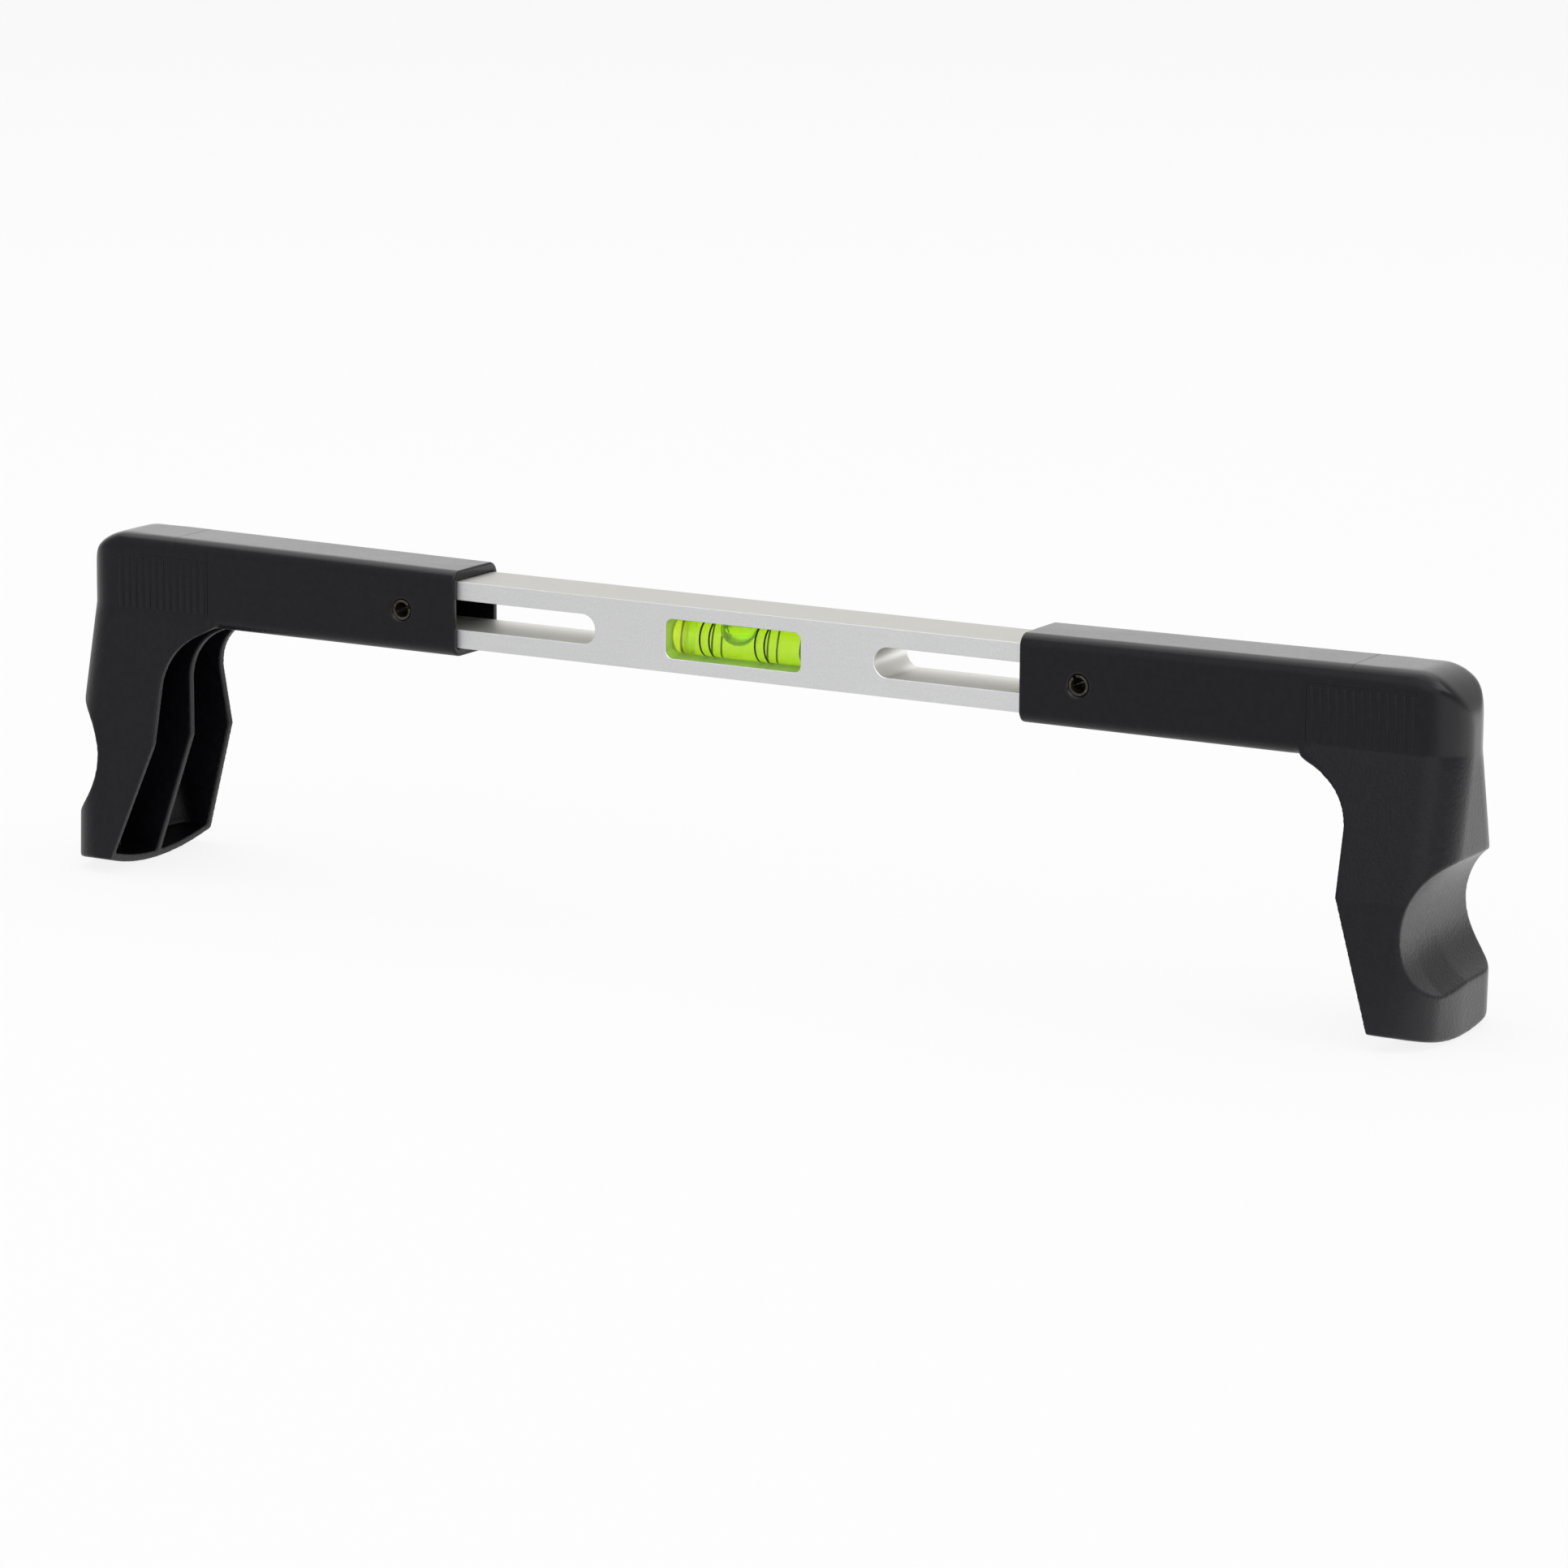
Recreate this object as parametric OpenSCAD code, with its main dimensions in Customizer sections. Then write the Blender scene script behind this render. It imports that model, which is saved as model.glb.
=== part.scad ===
// Spring-loaded level that braces across the inside of a steering wheel.
// Two plastic arms slide on a slotted aluminium bar that carries the vial.
// Modelled extended, standing on the ends of its legs.
// Millimetres. +X runs along the bar to the right, +Y away from the viewer, +Z up.
// The origin lies under the middle of the bar, at the lowest point of the legs.

/* [Bar] */
// Height and depth of the square aluminium bar
bar_side = 20; // [16:0.5:25]
// Full length of the bar
bar_length = 248; // [232:1:260]
// Chamfer along the long edges of the bar
bar_chamfer = 0.3; // [0.1:0.1:0.8]
// Distance from the middle of the bar to the inner end of each slot
slot_start = 46.4; // [42:0.2:52]
// Height of the slots that the pins run in
slot_height = 8.8; // [7.5:0.1:11]
// Play between a pin and the outer end of its slot
slot_end_play = 0.3; // [0.1:0.1:1]

/* [Vial window] */
// Length of the window milled through the bar
window_length = 44.8; // [40:0.2:52]
// Height of the window
window_height = 11.6; // [10:0.1:13]
// Corner radius of the window
window_corner = 2.2; // [1:0.1:4]
// Size of the bevel round the front and back mouths of the window
window_bevel = 0.4; // [0.2:0.1:0.8]
// Size of the bevel round the mouths of the slots
slot_bevel = 0.3; // [0.1:0.1:0.6]

/* [Vial] */
// Distance of the vial's axis in front of the middle of the bar
vial_forward = 1.5; // [0:0.1:2]
// Gap between the vial and the window all round
vial_gap = 0.1; // [0.05:0.05:0.3]
// Wall of the vial tube at the middle of its length
vial_wall = 1.3; // [0.9:0.1:2]
// How much narrower the bore is at its ends, which gives the barrel shape
vial_barrel = 0.35; // [0.1:0.05:0.8]
// Thickness of the closed right end of the tube
vial_end = 2.6; // [1.5:0.1:4]
// Length of the plug that closes the left end
plug_length = 4.6; // [3:0.1:7]
// Film of play between the tube and what it holds
film = 0.02; // [0.01:0.01:0.05]
// Length of the air bubble
bubble_length = 11.4; // [7:0.2:16]
// Depth of the air bubble below the top of the bore
bubble_depth = 3.9; // [2.5:0.1:5]
// Distance of the bubble and the rings from the middle, towards the left
ring_offset = 1.9; // [0:0.1:4]
// Distance between the two inner rings
ring_inner_gap = 15.3; // [12:0.1:18]
// Distance from each inner ring to its outer ring
ring_step = 3.1; // [2:0.1:5]
// Width of a ring line
ring_width = 0.45; // [0.3:0.05:0.9]
// Depth of the groove that each ring is set in
ring_depth = 0.2; // [0.1:0.05:0.4]

/* [Arm sleeves] */
// Height of the top of a sleeve above the bar's centre line, at its mouth
sleeve_top = 13.1; // [12.2:0.1:16]
// Depth of the underside of a sleeve below the bar's centre line
sleeve_under = 12.7; // [12.2:0.1:16]
// Moulding draft of the top of a sleeve, which rises towards the leg
top_draft = 0.5; // [0:0.1:1]
// Outer depth of the sleeve
sleeve_depth = 24.4; // [23.5:0.1:30]
// Radius of the long outer edges of the sleeve
sleeve_edge = 4; // [2:0.1:6]
// Length of an arm along the bar, from its mouth to its outer face
arm_length = 134.3; // [128:0.1:142]
// Length of bar that stays inside each sleeve when the arms are out
bar_overlap = 30.1; // [26:0.1:36]
// Clearance between bar and sleeve on each side
bar_play = 0.15; // [0.05:0.05:0.4]
// Distance from the mouth of a sleeve to its pin
pin_setback = 18.5; // [14:0.1:24]
// Depth of the blind bore of a sleeve
bore_depth = 120.1; // [114:0.1:124]

/* [Grip ribs] */
// Number of shallow ribs on the front and on the back of a sleeve
grip_count = 13; // [5:1:16]
// Distance from one rib to the next
grip_pitch = 2.5; // [1.6:0.1:2.6]
// Width of a rib
grip_width = 1.1; // [0.5:0.1:1.4]
// How far a rib stands out
grip_relief = 0.2; // [0.1:0.05:0.5]
// Height of the top of the ribs above the centre line of the bar
grip_top = 7.6; // [4:0.1:8]
// Distance from the bottom of the ribs to the line below them where the leg flares out
grip_gap = 0.3; // [0.1:0.1:2]
// Distance from the outer face of the arm to the first rib
grip_setback = 14.5; // [13:0.5:20]

/* [Arm legs] */
// Width of the leg above its knee, seen from the front
leg_width = 31.6; // [26:0.1:38]
// Distance from the centre line of the bar down to the corners of the leg
leg_drop = 84.2; // [70:0.2:95]
// How far the foot bulges below its corners
foot_bulge = 4.4; // [2:0.1:7]
// Radius of the throat between the sleeve and the leg
throat_radius = 17.5; // [12:0.2:24]
// Height of the small step where the leg starts on the sleeve
throat_step = 1.3; // [0.4:0.1:2]
// Length of the slanted start of the leg under the sleeve
throat_lead = 4.5; // [3:0.1:6]
// Depth below the bar centre at which the inner edge starts to slant outwards
knee_drop = 48.6; // [40:0.2:56]
// How far the inner edge slants outwards between the knee and the foot
knee_slant = 12.5; // [5:0.2:18]
// How far the outer face leans in between the knee and the foot
foot_lean = 2.4; // [0:0.1:4]
// Half the depth of the leg at the knee
knee_half = 21.7; // [16:0.2:26]
// Half the depth of the leg at its foot
foot_half = 27; // [20:0.2:32]
// Wall of the hollow leg
leg_wall = 2.4; // [1.6:0.1:3.2]
// Thickness of the rib down the middle of the leg
rib_wall = 2.4; // [1.6:0.1:4]
// Radius of the top outer corner of the arm, seen from the front
crown_radius = 15; // [8:0.5:18]
// Radius of the upright outer corners at the sleeve
corner_top = 10.8; // [6:0.1:12]
// Radius of the upright outer corners at the knee
corner_knee = 10.8; // [8:0.1:16]
// Radius of the upright outer corners at the foot
corner_foot = 13; // [10:0.1:20]

/* [Rim seat] */
// Radius of the scoop that seats on the wheel rim
seat_radius = 22; // [14:0.2:26]
// Depth of the scoop below the outer face
seat_depth = 11.3; // [6:0.1:12]
// Distance from the centre line of the bar down to the middle of the scoop
seat_drop = 56.2; // [48:0.2:62]

/* [Pins] */
// Outer diameter of the slotted spring pins
pin_diameter = 6; // [4:0.1:7]
// Wall of the rolled pin
pin_wall = 0.7; // [0.4:0.1:1.2]
// Width of the slit along the pin
pin_slit = 1.1; // [0.5:0.1:2]
// Bevel at each end of the pin
pin_bevel = 0.4; // [0.2:0.1:0.6]
// Turn of the slit of the left pin about the pin's axis
left_slit_angle = 24; // [-180:1:180]
// Turn of the slit of the right pin about the pin's axis
right_slit_angle = 120; // [-180:1:180]
// Play between the pin and its hole
pin_play = 0.02; // [0.01:0.01:0.05]
// How far each end of the pin lies below the face of the arm
pin_sink = 0.5; // [0.2:0.1:1.5]
// Diameter of the countersunk ring round each pin hole
pin_recess_diameter = 7; // [6.4:0.1:9]
// Depth of that ring
pin_recess_depth = 0.7; // [0.3:0.1:1.5]

/* [Springs] */
// Outer diameter of the compression springs
spring_diameter = 15; // [10:0.5:18]
// Wire diameter of the springs
spring_wire = 1.2; // [0.8:0.1:1.6]
// Number of open turns in each spring
spring_turns = 13; // [8:1:16]
// Gap between the closed turns at each end
coil_gap = 0.5; // [0.45:0.05:1]
// Play at each end of a spring
spring_end_play = 0.1; // [0.05:0.05:0.3]

/* [Hidden] */
eps = 0.01;
$fn = 64;

// Heights and places of the bar
bar_z = leg_drop + foot_bulge;
pin_r = pin_diameter / 2;
bar_end = bar_length / 2;
mouth_x = bar_end - bar_overlap;
pin_x = mouth_x + pin_setback;
leg_outer_x = mouth_x + arm_length;
leg_inner_x = leg_outer_x - leg_width;
bore_end = mouth_x + bore_depth;
slot_end = pin_x + pin_r + slot_end_play;
slot_length = slot_end - slot_start;

// Vial
vial_length = window_length - 2 * vial_gap;
vial_r = window_height / 2 - vial_gap;
bore_mid_r = vial_r - vial_wall;
bore_tip_r = bore_mid_r - vial_barrel;
bore_left = -vial_length / 2 + plug_length;
bore_right = vial_length / 2 - vial_end;
bore_half = (bore_right - bore_left) / 2;
bore_steps = 12;
bore_arc_r = (bore_half * bore_half + vial_barrel * vial_barrel) / (2 * vial_barrel);
ring_x = [
    for (side = [-1, 1], step = [0, 1])
        side * (ring_inner_gap / 2 + step * ring_step) - ring_offset
];

// Sleeve
end_top = sleeve_top + (leg_outer_x - mouth_x) * tan(top_draft);
sleeve_half = sleeve_depth / 2;
bore_side = bar_side + 2 * bar_play;

// Leg, measured from the centre line of the bar
flare_z = -(sleeve_under - sleeve_edge);
throat_x = leg_inner_x - throat_radius;
throat_z = -sleeve_under - throat_step - throat_radius;
leg_start = throat_x + throat_step;
lead_x = leg_start + throat_lead;
foot_low = leg_drop + foot_bulge;
foot_radius = (foot_half * foot_half + foot_bulge * foot_bulge) / (2 * foot_bulge);
seat_x = leg_outer_x - seat_depth + seat_radius;
slant = knee_slant / (leg_drop - knee_drop);
foot_flare = (foot_half - knee_half) / (leg_drop - knee_drop);
skirt_z = -foot_low - 1;
skirt_half = foot_half + foot_flare * (-skirt_z - leg_drop);
corner_steps = 14;

// A chamfered square, the section of the bar
module bar_section() {
    h = bar_side / 2;
    c = h - bar_chamfer;
    polygon([[c, -h], [h, -c], [h, c], [c, h], [-c, h], [-h, c], [-h, -c], [-c, -h]]);
}

// A rectangle with true round corners
module rounded(w, h, r) {
    square([w - 2 * r, h], center = true);
    square([w, h - 2 * r], center = true);
    for (x = [-1, 1], y = [-1, 1])
        translate([x * (w / 2 - r), y * (h / 2 - r)]) circle(r);
}

// A prism that widens upwards at 45 degrees on two sides, for bevels
module bevel_wedge(length, width, c) {
    h = width / 2;
    rotate([90, 0, 90]) linear_extrude(length, center = true)
        polygon([[-h, 0], [h, 0], [h + c, c], [-h - c, c]]);
}

// The bevel round one mouth of a rectangular pocket, opening upwards
module window_mouth(c) {
    flat_w = window_length - 2 * window_corner;
    flat_h = window_height - 2 * window_corner;
    bevel_wedge(flat_w, window_height, c);
    rotate([0, 0, 90]) bevel_wedge(flat_h, window_length, c);
    for (x = [-1, 1], y = [-1, 1])
        translate([x * flat_w / 2, y * flat_h / 2, 0])
            cylinder(h = c, r1 = window_corner, r2 = window_corner + c);
}

// The bevel round one mouth of a slot, opening upwards
module slot_mouth(c) {
    flat = slot_length - slot_height;
    bevel_wedge(flat, slot_height, c);
    for (x = [-1, 1])
        translate([x * flat / 2, 0, 0]) cylinder(h = c, d1 = slot_height, d2 = slot_height + 2 * c);
}

module slot_outline() {
    flat = slot_length - slot_height;
    square([flat, slot_height], center = true);
    for (x = [-1, 1]) translate([x * flat / 2, 0]) circle(d = slot_height);
}

// Repeats a mouth on the front and the back face of the bar
module both_faces(depth) {
    for (flip = [0, 1]) mirror([0, 0, flip]) translate([0, 0, bar_side / 2 - depth]) children();
}

module centre_bar() {
    color("silver") translate([0, 0, bar_z]) difference() {
        rotate([90, 0, 90]) linear_extrude(bar_length, center = true) bar_section();
        rotate([90, 0, 0]) {
            linear_extrude(bar_side + 2, center = true) rounded(window_length, window_height, window_corner);
            both_faces(window_bevel) window_mouth(window_bevel + eps);
        }
        for (side = [-1, 1])
            translate([side * (slot_start + slot_end) / 2, 0, 0]) rotate([90, 0, 0]) {
                linear_extrude(bar_side + 2, center = true) slot_outline();
                both_faces(slot_bevel) slot_mouth(slot_bevel + eps);
            }
    }
}

// Places a piece turned about X on the axis of the vial
module on_vial() {
    translate([0, -vial_forward, bar_z]) rotate([0, 90, 0]) children();
}

// Radius of the barrelled bore at a distance from its middle
function barrel_r(x) = bore_mid_r - bore_arc_r + sqrt(bore_arc_r * bore_arc_r - x * x);

// Inside of the vial, a slightly barrelled bore, smaller all round by a film of play
module vial_bore(slack = 0) {
    reach = bore_half - slack;
    outline = [for (i = [0 : bore_steps]) let (x = reach * (2 * i / bore_steps - 1)) [barrel_r(x) - slack, x]];
    translate([0, 0, (bore_left + bore_right) / 2]) rotate_extrude()
        polygon(concat([[0, -reach]], outline, [[0, reach]]));
}

// The vial filled, with round end edges that clear the corners of the window
module vial_body() {
    rotate_extrude() intersection() {
        rounded(2 * vial_r, vial_length, window_corner);
        translate([0, -vial_length / 2]) square([vial_r, vial_length]);
    }
}

module vial_tube() {
    color("yellowgreen", 0.5) on_vial() difference() {
        vial_body();
        vial_bore();
        translate([0, 0, -vial_length / 2 - 1]) cylinder(h = plug_length + 1 + eps, r = bore_tip_r);
        for (x = ring_x)
            translate([0, 0, x - ring_width / 2]) difference() {
                cylinder(h = ring_width, r = vial_r + 1);
                cylinder(h = ring_width, r = vial_r - ring_depth);
            }
    }
}

module vial_plug() {
    color("greenyellow") on_vial() intersection() {
        vial_body();
        translate([0, 0, -vial_length / 2]) cylinder(h = plug_length - film, r = bore_tip_r - film);
    }
}

// The bubble is a hollow that rests against the top of the bore
module vial_liquid() {
    bubble_r = (bubble_length * bubble_length / 4 + bubble_depth * bubble_depth) / (2 * bubble_depth);
    color("lawngreen", 0.6) on_vial() difference() {
        vial_bore(film);
        translate([-(bore_mid_r - bubble_depth + bubble_r), 0, -ring_offset]) sphere(bubble_r);
    }
}

module vial_rings() {
    color("black") on_vial() for (x = ring_x)
        translate([0, 0, x - ring_width / 2]) difference() {
            cylinder(h = ring_width, r = vial_r);
            translate([0, 0, -eps]) cylinder(h = ring_width + 2 * eps, r = vial_r - ring_depth + film);
        }
}

// Side view of an arm: sleeve, crown, throat, knee and slanted inner edge
module arm_side() {
    difference() {
        polygon([
            [mouth_x, -sleeve_under],
            [leg_start, -sleeve_under],
            [lead_x, throat_z + sqrt(pow(throat_radius, 2) - pow(lead_x - throat_x, 2))],
            [lead_x, throat_z],
            [leg_inner_x, throat_z],
            [leg_inner_x, -knee_drop],
            [leg_inner_x + slant * (-skirt_z - knee_drop), skirt_z],
            [leg_outer_x, skirt_z],
            [leg_outer_x, end_top - crown_radius],
            [leg_outer_x - crown_radius, end_top - crown_radius],
            [leg_outer_x - crown_radius, end_top + eps],
            [mouth_x, end_top + eps]
        ]);
        translate([throat_x, throat_z]) circle(throat_radius);
    }
    translate([leg_outer_x - crown_radius, end_top - crown_radius]) intersection() {
        circle(crown_radius);
        square(crown_radius);
    }
}

// Outline of a level section, square at its start and round at its outer corners, drawn in by a wall
function level_outline(start, half, r, lean = 0, inset = 0) = concat(
    [[start, inset - half]],
    [
        for (side = [-1, 1], i = [0 : corner_steps])
            let (a = side * 90 * (side < 0 ? 1 - i / corner_steps : i / corner_steps))
                [
                    leg_outer_x - lean - r + (r - inset) * cos(a),
                    side * (half - r) + (r - inset) * sin(a)
                ]
    ],
    [[start, half - inset]]
);

// The same outline of the leg as points at a height
function leg_ring(z, half, r, lean, inset) = [
    for (p = level_outline(leg_start, half, r, lean, inset)) [p[0], p[1], z]
];

// The flared leg, filled; with an inset it is the hollow inside
module leg_flare(inset = 0) {
    points = concat(
        leg_ring(flare_z, sleeve_half, corner_top, 0, inset),
        leg_ring(-knee_drop, knee_half, corner_knee, 0, inset),
        leg_ring(skirt_z, skirt_half, corner_foot, foot_lean, inset)
    );
    count = len(points) / 3;
    sides = [
        for (level = [0, 1], i = [0 : count - 1])
            let (a = level * count, n = (i + 1) % count)
                [a + i, a + n, a + count + n, a + count + i]
    ];
    polyhedron(points, concat([[for (i = [count - 1 : -1 : 0]) i]], sides, [[for (i = [0 : count - 1]) 2 * count + i]]));
}

// Everything above the curved sole of the foot, drawn up by a wall
module above_sole(inset = 0) {
    rotate([90, 0, 90]) linear_extrude(leg_outer_x + 1) {
        translate([0, foot_radius - foot_low]) circle(foot_radius - inset, $fn = 256);
        translate([-skirt_half - 2, foot_radius - foot_low - 5]) square([2 * skirt_half + 4, foot_radius]);
    }
}

// Section of the sleeve that reaches far below its round top edges
module sleeve_section(top) {
    translate([0, top - leg_drop / 2]) rounded(sleeve_depth, leg_drop, sleeve_edge);
}

// The drafted top and the level underside, each with its round long edges
module sleeve_body() {
    reach = leg_outer_x - mouth_x + 1;
    intersection() {
        translate([mouth_x, 0, 0]) rotate([0, -top_draft, 0]) translate([-1, 0, 0])
            rotate([90, 0, 90]) linear_extrude(reach + 1) sleeve_section(sleeve_top);
        mirror([0, 0, 1]) translate([mouth_x - 1, 0, 0])
            rotate([90, 0, 90]) linear_extrude(reach + 1) sleeve_section(sleeve_under);
        translate([0, 0, -sleeve_under - 1]) linear_extrude(end_top + sleeve_under + 2)
            polygon(level_outline(0, sleeve_half, corner_top));
    }
}

// Shallow upright ribs on both sides of the sleeve, above the leg
module grip_ribs() {
    low = flare_z + grip_gap;
    for (i = [0 : grip_count - 1])
        translate([leg_outer_x - grip_setback - i * grip_pitch, 0, (grip_top + low) / 2])
            cube([grip_width, sleeve_depth + 2 * grip_relief, grip_top - low], center = true);
}

// The moulding without its openings
module arm_body() {
    intersection() {
        rotate([90, 0, 0]) linear_extrude(4 * foot_half, center = true) arm_side();
        above_sole();
        union() {
            sleeve_body();
            leg_flare();
        }
    }
}

module leg_hollow() {
    difference() {
        intersection() {
            leg_flare(leg_wall);
            above_sole(leg_wall);
            translate([0, -2 * foot_half, -sleeve_under - 2 * foot_low])
                cube([2 * leg_outer_x, 4 * foot_half, 2 * foot_low]);
        }
        translate([seat_x, 0, -seat_drop]) rotate([90, 0, 0])
            cylinder(h = 4 * foot_half, r = seat_radius + leg_wall, center = true, $fn = 128);
        translate([0, -rib_wall / 2, -2 * foot_low]) cube([2 * leg_outer_x, rib_wall, 2 * foot_low]);
    }
}

// One arm, drawn at the right-hand end with the bar centre at zero height
module arm() {
    difference() {
        union() {
            arm_body();
            grip_ribs();
        }
        translate([mouth_x - 1, -bore_side / 2, -bore_side / 2])
            cube([bore_end - mouth_x + 1, bore_side, bore_side]);
        leg_hollow();
        translate([seat_x, 0, -seat_drop]) rotate([90, 0, 0])
            cylinder(h = 4 * foot_half, r = seat_radius, center = true, $fn = 128);
        translate([pin_x, 0, 0]) rotate([90, 0, 0]) {
            cylinder(h = sleeve_depth + 2, d = pin_diameter + 2 * pin_play, center = true);
            for (flip = [0, 1]) mirror([0, 0, flip])
                translate([0, 0, sleeve_half - pin_recess_depth])
                    cylinder(h = pin_recess_depth + 1, d = pin_recess_diameter);
        }
    }
}

// The right arm; the left one is the same moulding turned half a turn
module arm_place(turn) {
    translate([0, 0, bar_z]) rotate([0, 0, turn]) children();
}

module left_arm() {
    color([0.13, 0.13, 0.15]) arm_place(180) arm();
}

module right_arm() {
    color([0.13, 0.13, 0.15]) arm_place(0) arm();
}

// A slotted spring pin with bevelled ends, its slit at the angle given
module spring_pin(slit_angle) {
    length = sleeve_depth - 2 * pin_sink;
    rotate([90, slit_angle, 0]) difference() {
        union() {
            cylinder(h = length - 2 * pin_bevel, r = pin_r, center = true);
            for (flip = [0, 1]) mirror([0, 0, flip])
                translate([0, 0, length / 2 - pin_bevel])
                    cylinder(h = pin_bevel, r1 = pin_r, r2 = pin_r - pin_bevel);
        }
        cylinder(h = length + 2, r = pin_r - pin_wall, center = true);
        translate([0, -pin_slit / 2, -length / 2 - 1]) cube([pin_r + 1, pin_slit, length + 2]);
    }
}

module left_pin() {
    color("dimgray") translate([-pin_x, 0, bar_z]) spring_pin(left_slit_angle);
}

module right_pin() {
    color("dimgray") translate([pin_x, 0, bar_z]) spring_pin(right_slit_angle);
}

// Springs: centre line of one coil, with a closed turn at each end
spring_length = bore_end - bar_end - 2 * spring_end_play;
coil_r = (spring_diameter - spring_wire) / 2;
coil_steps = 8;
coil_sides = 6;
closed_pitch = spring_wire + coil_gap;
open_pitch = (spring_length - spring_wire - 2 * closed_pitch) / spring_turns;
spring_total = spring_turns + 2;
function coil_rise(t) =
    t < 1 ? t * closed_pitch
    : t < spring_total - 1 ? closed_pitch + (t - 1) * open_pitch
    : 2 * closed_pitch - closed_pitch * (spring_total - t) + open_pitch * spring_turns;
function coil_point(t) = [
    spring_wire / 2 + coil_rise(t),
    coil_r * cos(360 * t),
    coil_r * sin(360 * t)
];
function coil_ring(t) = [
    for (k = [0 : coil_sides - 1])
        let (a = 360 * k / coil_sides)
            coil_point(t) + spring_wire / 2 * [
                sin(a),
                cos(a) * cos(360 * t),
                cos(a) * sin(360 * t)
            ]
];

// The helix as one closed tube of triangles
module coil_spring() {
    rings = spring_total * coil_steps;
    points = [for (i = [0 : rings]) each coil_ring(i / coil_steps)];
    side_faces = [
        for (i = [0 : rings - 1], k = [0 : coil_sides - 1])
            let (
                n = (k + 1) % coil_sides,
                a = i * coil_sides + k,
                b = i * coil_sides + n,
                c = a + coil_sides,
                d = b + coil_sides
            )
                each [[a, b, d], [a, d, c]]
    ];
    caps = [
        for (k = [1 : coil_sides - 2])
            each [[0, k + 1, k], [rings * coil_sides, rings * coil_sides + k, rings * coil_sides + k + 1]]
    ];
    polyhedron(points, concat(side_faces, caps));
}

module left_spring() {
    color("darkgray") translate([0, 0, bar_z]) rotate([0, 0, 180])
        translate([bar_end + spring_end_play, 0, 0]) coil_spring();
}

module right_spring() {
    color("darkgray") translate([bar_end + spring_end_play, 0, bar_z]) coil_spring();
}

// Least gap between neighbouring turns, measured on the points of the centre line
coil_gaps = [
    for (i = [0 : 2 * coil_steps], j = [i + coil_steps / 2 : i + 2 * coil_steps])
        norm(coil_point(i / coil_steps) - coil_point(j / coil_steps)) - spring_wire
];
echo(least_coil_gap = min(coil_gaps));
echo(arm_travel = pin_x - slot_start - pin_r - slot_end_play);

centre_bar();
vial_tube();
vial_plug();
vial_liquid();
vial_rings();
left_arm();
right_arm();
left_pin();
right_pin();
left_spring();
right_spring();
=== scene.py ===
import bpy
import math
from mathutils import Matrix, Vector


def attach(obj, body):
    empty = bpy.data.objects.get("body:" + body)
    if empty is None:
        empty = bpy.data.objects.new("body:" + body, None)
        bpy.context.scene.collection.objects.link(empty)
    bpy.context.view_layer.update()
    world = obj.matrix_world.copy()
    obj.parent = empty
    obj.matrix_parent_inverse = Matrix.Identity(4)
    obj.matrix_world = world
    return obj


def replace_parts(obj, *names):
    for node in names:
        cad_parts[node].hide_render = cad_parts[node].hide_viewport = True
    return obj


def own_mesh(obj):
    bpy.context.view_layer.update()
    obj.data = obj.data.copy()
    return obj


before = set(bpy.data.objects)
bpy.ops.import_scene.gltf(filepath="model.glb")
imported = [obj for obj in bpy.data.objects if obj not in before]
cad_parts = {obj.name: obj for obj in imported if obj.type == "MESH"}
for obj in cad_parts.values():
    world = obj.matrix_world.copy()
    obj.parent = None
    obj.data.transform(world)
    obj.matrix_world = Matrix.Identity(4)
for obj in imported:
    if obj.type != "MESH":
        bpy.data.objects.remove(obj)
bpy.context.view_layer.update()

# Sizes are given in millimetres, with heights from the centre line of the bar
MM = 0.001
BAR_Z = 88.6
PIN_X = 112.4

scene = bpy.context.scene
scene.view_settings.view_transform = "Standard"


# Modelling helpers

def deselect():
    bpy.ops.object.select_all(action="DESELECT")


def select_only(obj):
    deselect()
    obj.select_set(True)
    bpy.context.view_layer.objects.active = obj


def settle(obj):
    """Puts the place of an object in its mesh."""
    select_only(obj)
    bpy.ops.object.transform_apply(location=True, rotation=True, scale=True)
    return obj


def block(name, low, high):
    """A box between two corners."""
    deselect()
    middle = [(a + b) / 2 * MM for a, b in zip(low, high)]
    middle[2] += BAR_Z * MM
    bpy.ops.mesh.primitive_cube_add(size=1, location=middle)
    obj = bpy.context.active_object
    obj.name = name
    obj.scale = [(b - a) * MM for a, b in zip(low, high)]
    return settle(obj)


def rod(name, centre, axis, radius, length, sides=96):
    """A cylinder about an axis."""
    deselect()
    turn = {"x": (0, math.pi / 2, 0), "y": (-math.pi / 2, 0, 0)}[axis]
    place = [c * MM for c in centre]
    place[2] += BAR_Z * MM
    bpy.ops.mesh.primitive_cone_add(vertices=sides, radius1=radius * MM, radius2=radius * MM,
                                    depth=length * MM, location=place, rotation=turn)
    obj = bpy.context.active_object
    obj.name = name
    return settle(obj)


def face_outwards():
    """Turns the faces of the mesh that is being edited outwards, and ends the edit."""
    bpy.ops.mesh.select_all(action="SELECT")
    bpy.ops.mesh.normals_make_consistent(inside=False)
    bpy.ops.object.mode_set(mode="OBJECT")


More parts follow.
